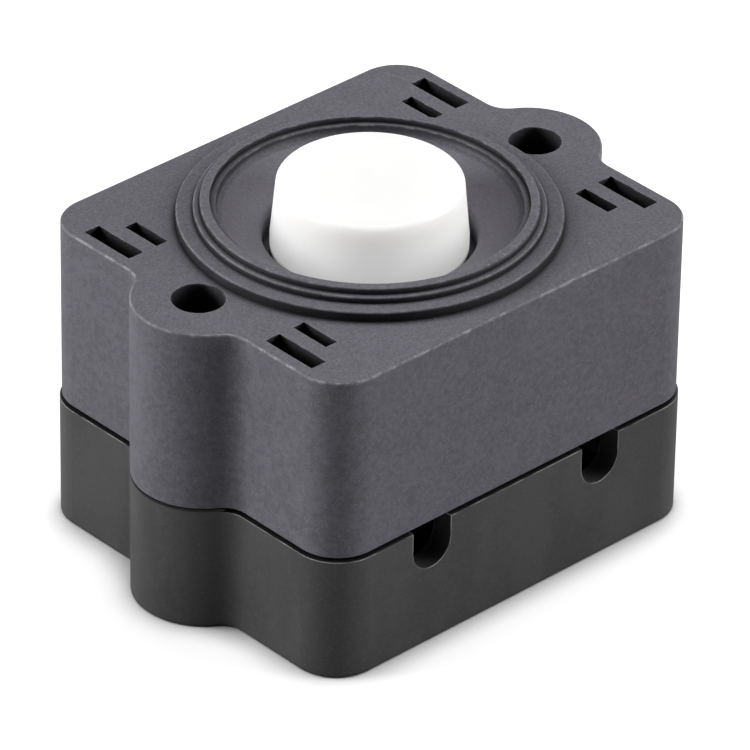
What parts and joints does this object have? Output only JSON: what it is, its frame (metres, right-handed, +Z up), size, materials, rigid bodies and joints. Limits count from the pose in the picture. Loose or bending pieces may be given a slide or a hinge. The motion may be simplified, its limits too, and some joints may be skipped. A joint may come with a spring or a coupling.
{
  "type": "water pump pressure switch",
  "caption": "Boxy two-part pressure switch for a small water pump, with screw ears, a stepped collar and a white sprung plunger.",
  "frame": {"origin": "on the plunger's axis at the underside of the lower cover", "axes": "+Z up, out of the plunger; +X from one screw ear to the other; the two lead notches open towards -Y"},
  "size_m": [0.0516, 0.0386, 0.0341],
  "materials": {
    "housing_grey": "matte",
    "cover_charcoal": "satin",
    "plunger_white": "satin",
    "bush_natural": "satin",
    "spring_steel": "satin",
    "plain_steel": "satin",
    "black_steel": "satin",
    "insert_brass": "satin",
    "block_black": "satin",
    "block_red": "satin",
    "button_amber": "satin",
    "blade_bronze": "satin",
    "contact_silver": "polished",
    "terminal_brass": "satin"
  },
  "bodies": {
    "casing": {"upper_housing": "housing_grey", "lower_cover": "cover_charcoal", "threaded_insert": "insert_brass", "guide_bush": "bush_natural", "switch_case": "block_black", "switch_lid": "block_red", "lever_pin": "plain_steel", "common_terminal": "terminal_brass", "closed_terminal": "terminal_brass", "fixed_contact": "contact_silver", "blade_rivet": "insert_brass", "block_screws": "plain_steel", "pressure_spring": "spring_steel"},
    "plunger_group": {"plunger": "plunger_white", "spring_cap": "plain_steel"},
    "lever_group": {"switch_lever": "spring_steel"},
    "button_group": {"switch_button": "button_amber"},
    "blade_group": {"contact_blade": "blade_bronze", "moving_contact": "contact_silver"},
    "seat_group": {"spring_seat": "plain_steel"},
    "screw_group": {"adjusting_screw": "black_steel"}
  },
  "joints": [
    {"name": "plunger_press", "type": "slide", "parent": "casing", "child": "plunger_group", "axis": [0, 0, -1], "range_m": [0, 0.0015], "stiffness_N_per_m": 18000, "deforming": ["pressure_spring"]},
    {"name": "lever_tilt", "type": "hinge", "parent": "casing", "child": "lever_group", "pos_m": [-0.0105, 0.0106, 0.0142], "axis": [0, 1, 0], "range_deg": [0, 6.2]},
    {"name": "button_press", "type": "slide", "parent": "casing", "child": "button_group", "axis": [0, 0, -1], "range_m": [0, 0.00065]},
    {"name": "contact_break", "type": "hinge", "parent": "casing", "child": "blade_group", "pos_m": [0.009, 0.0105, 0.00833], "axis": [0, -1, 0], "range_deg": [0, 2.8]},
    {"name": "adjuster_lift", "type": "slide", "parent": "casing", "child": "seat_group", "axis": [0, 0, 1], "range_m": [-0.0004, 0.0012]},
    {"name": "adjuster_turn", "type": "hinge", "parent": "seat_group", "child": "screw_group", "pos_m": [0, 0, 0.005], "axis": [0, 0, 1], "range_deg": [-180, 540]}
  ],
  "couplings": [
    {"joint": "lever_tilt", "follows": "plunger_press", "rad_per_m": 71.5},
    {"joint": "button_press", "follows": "plunger_press", "ratio": 0.4286},
    {"joint": "contact_break", "follows": "plunger_press", "rad_per_m": 31.75},
    {"joint": "adjuster_turn", "follows": "adjuster_lift", "rad_per_m": 7854}
  ]
}
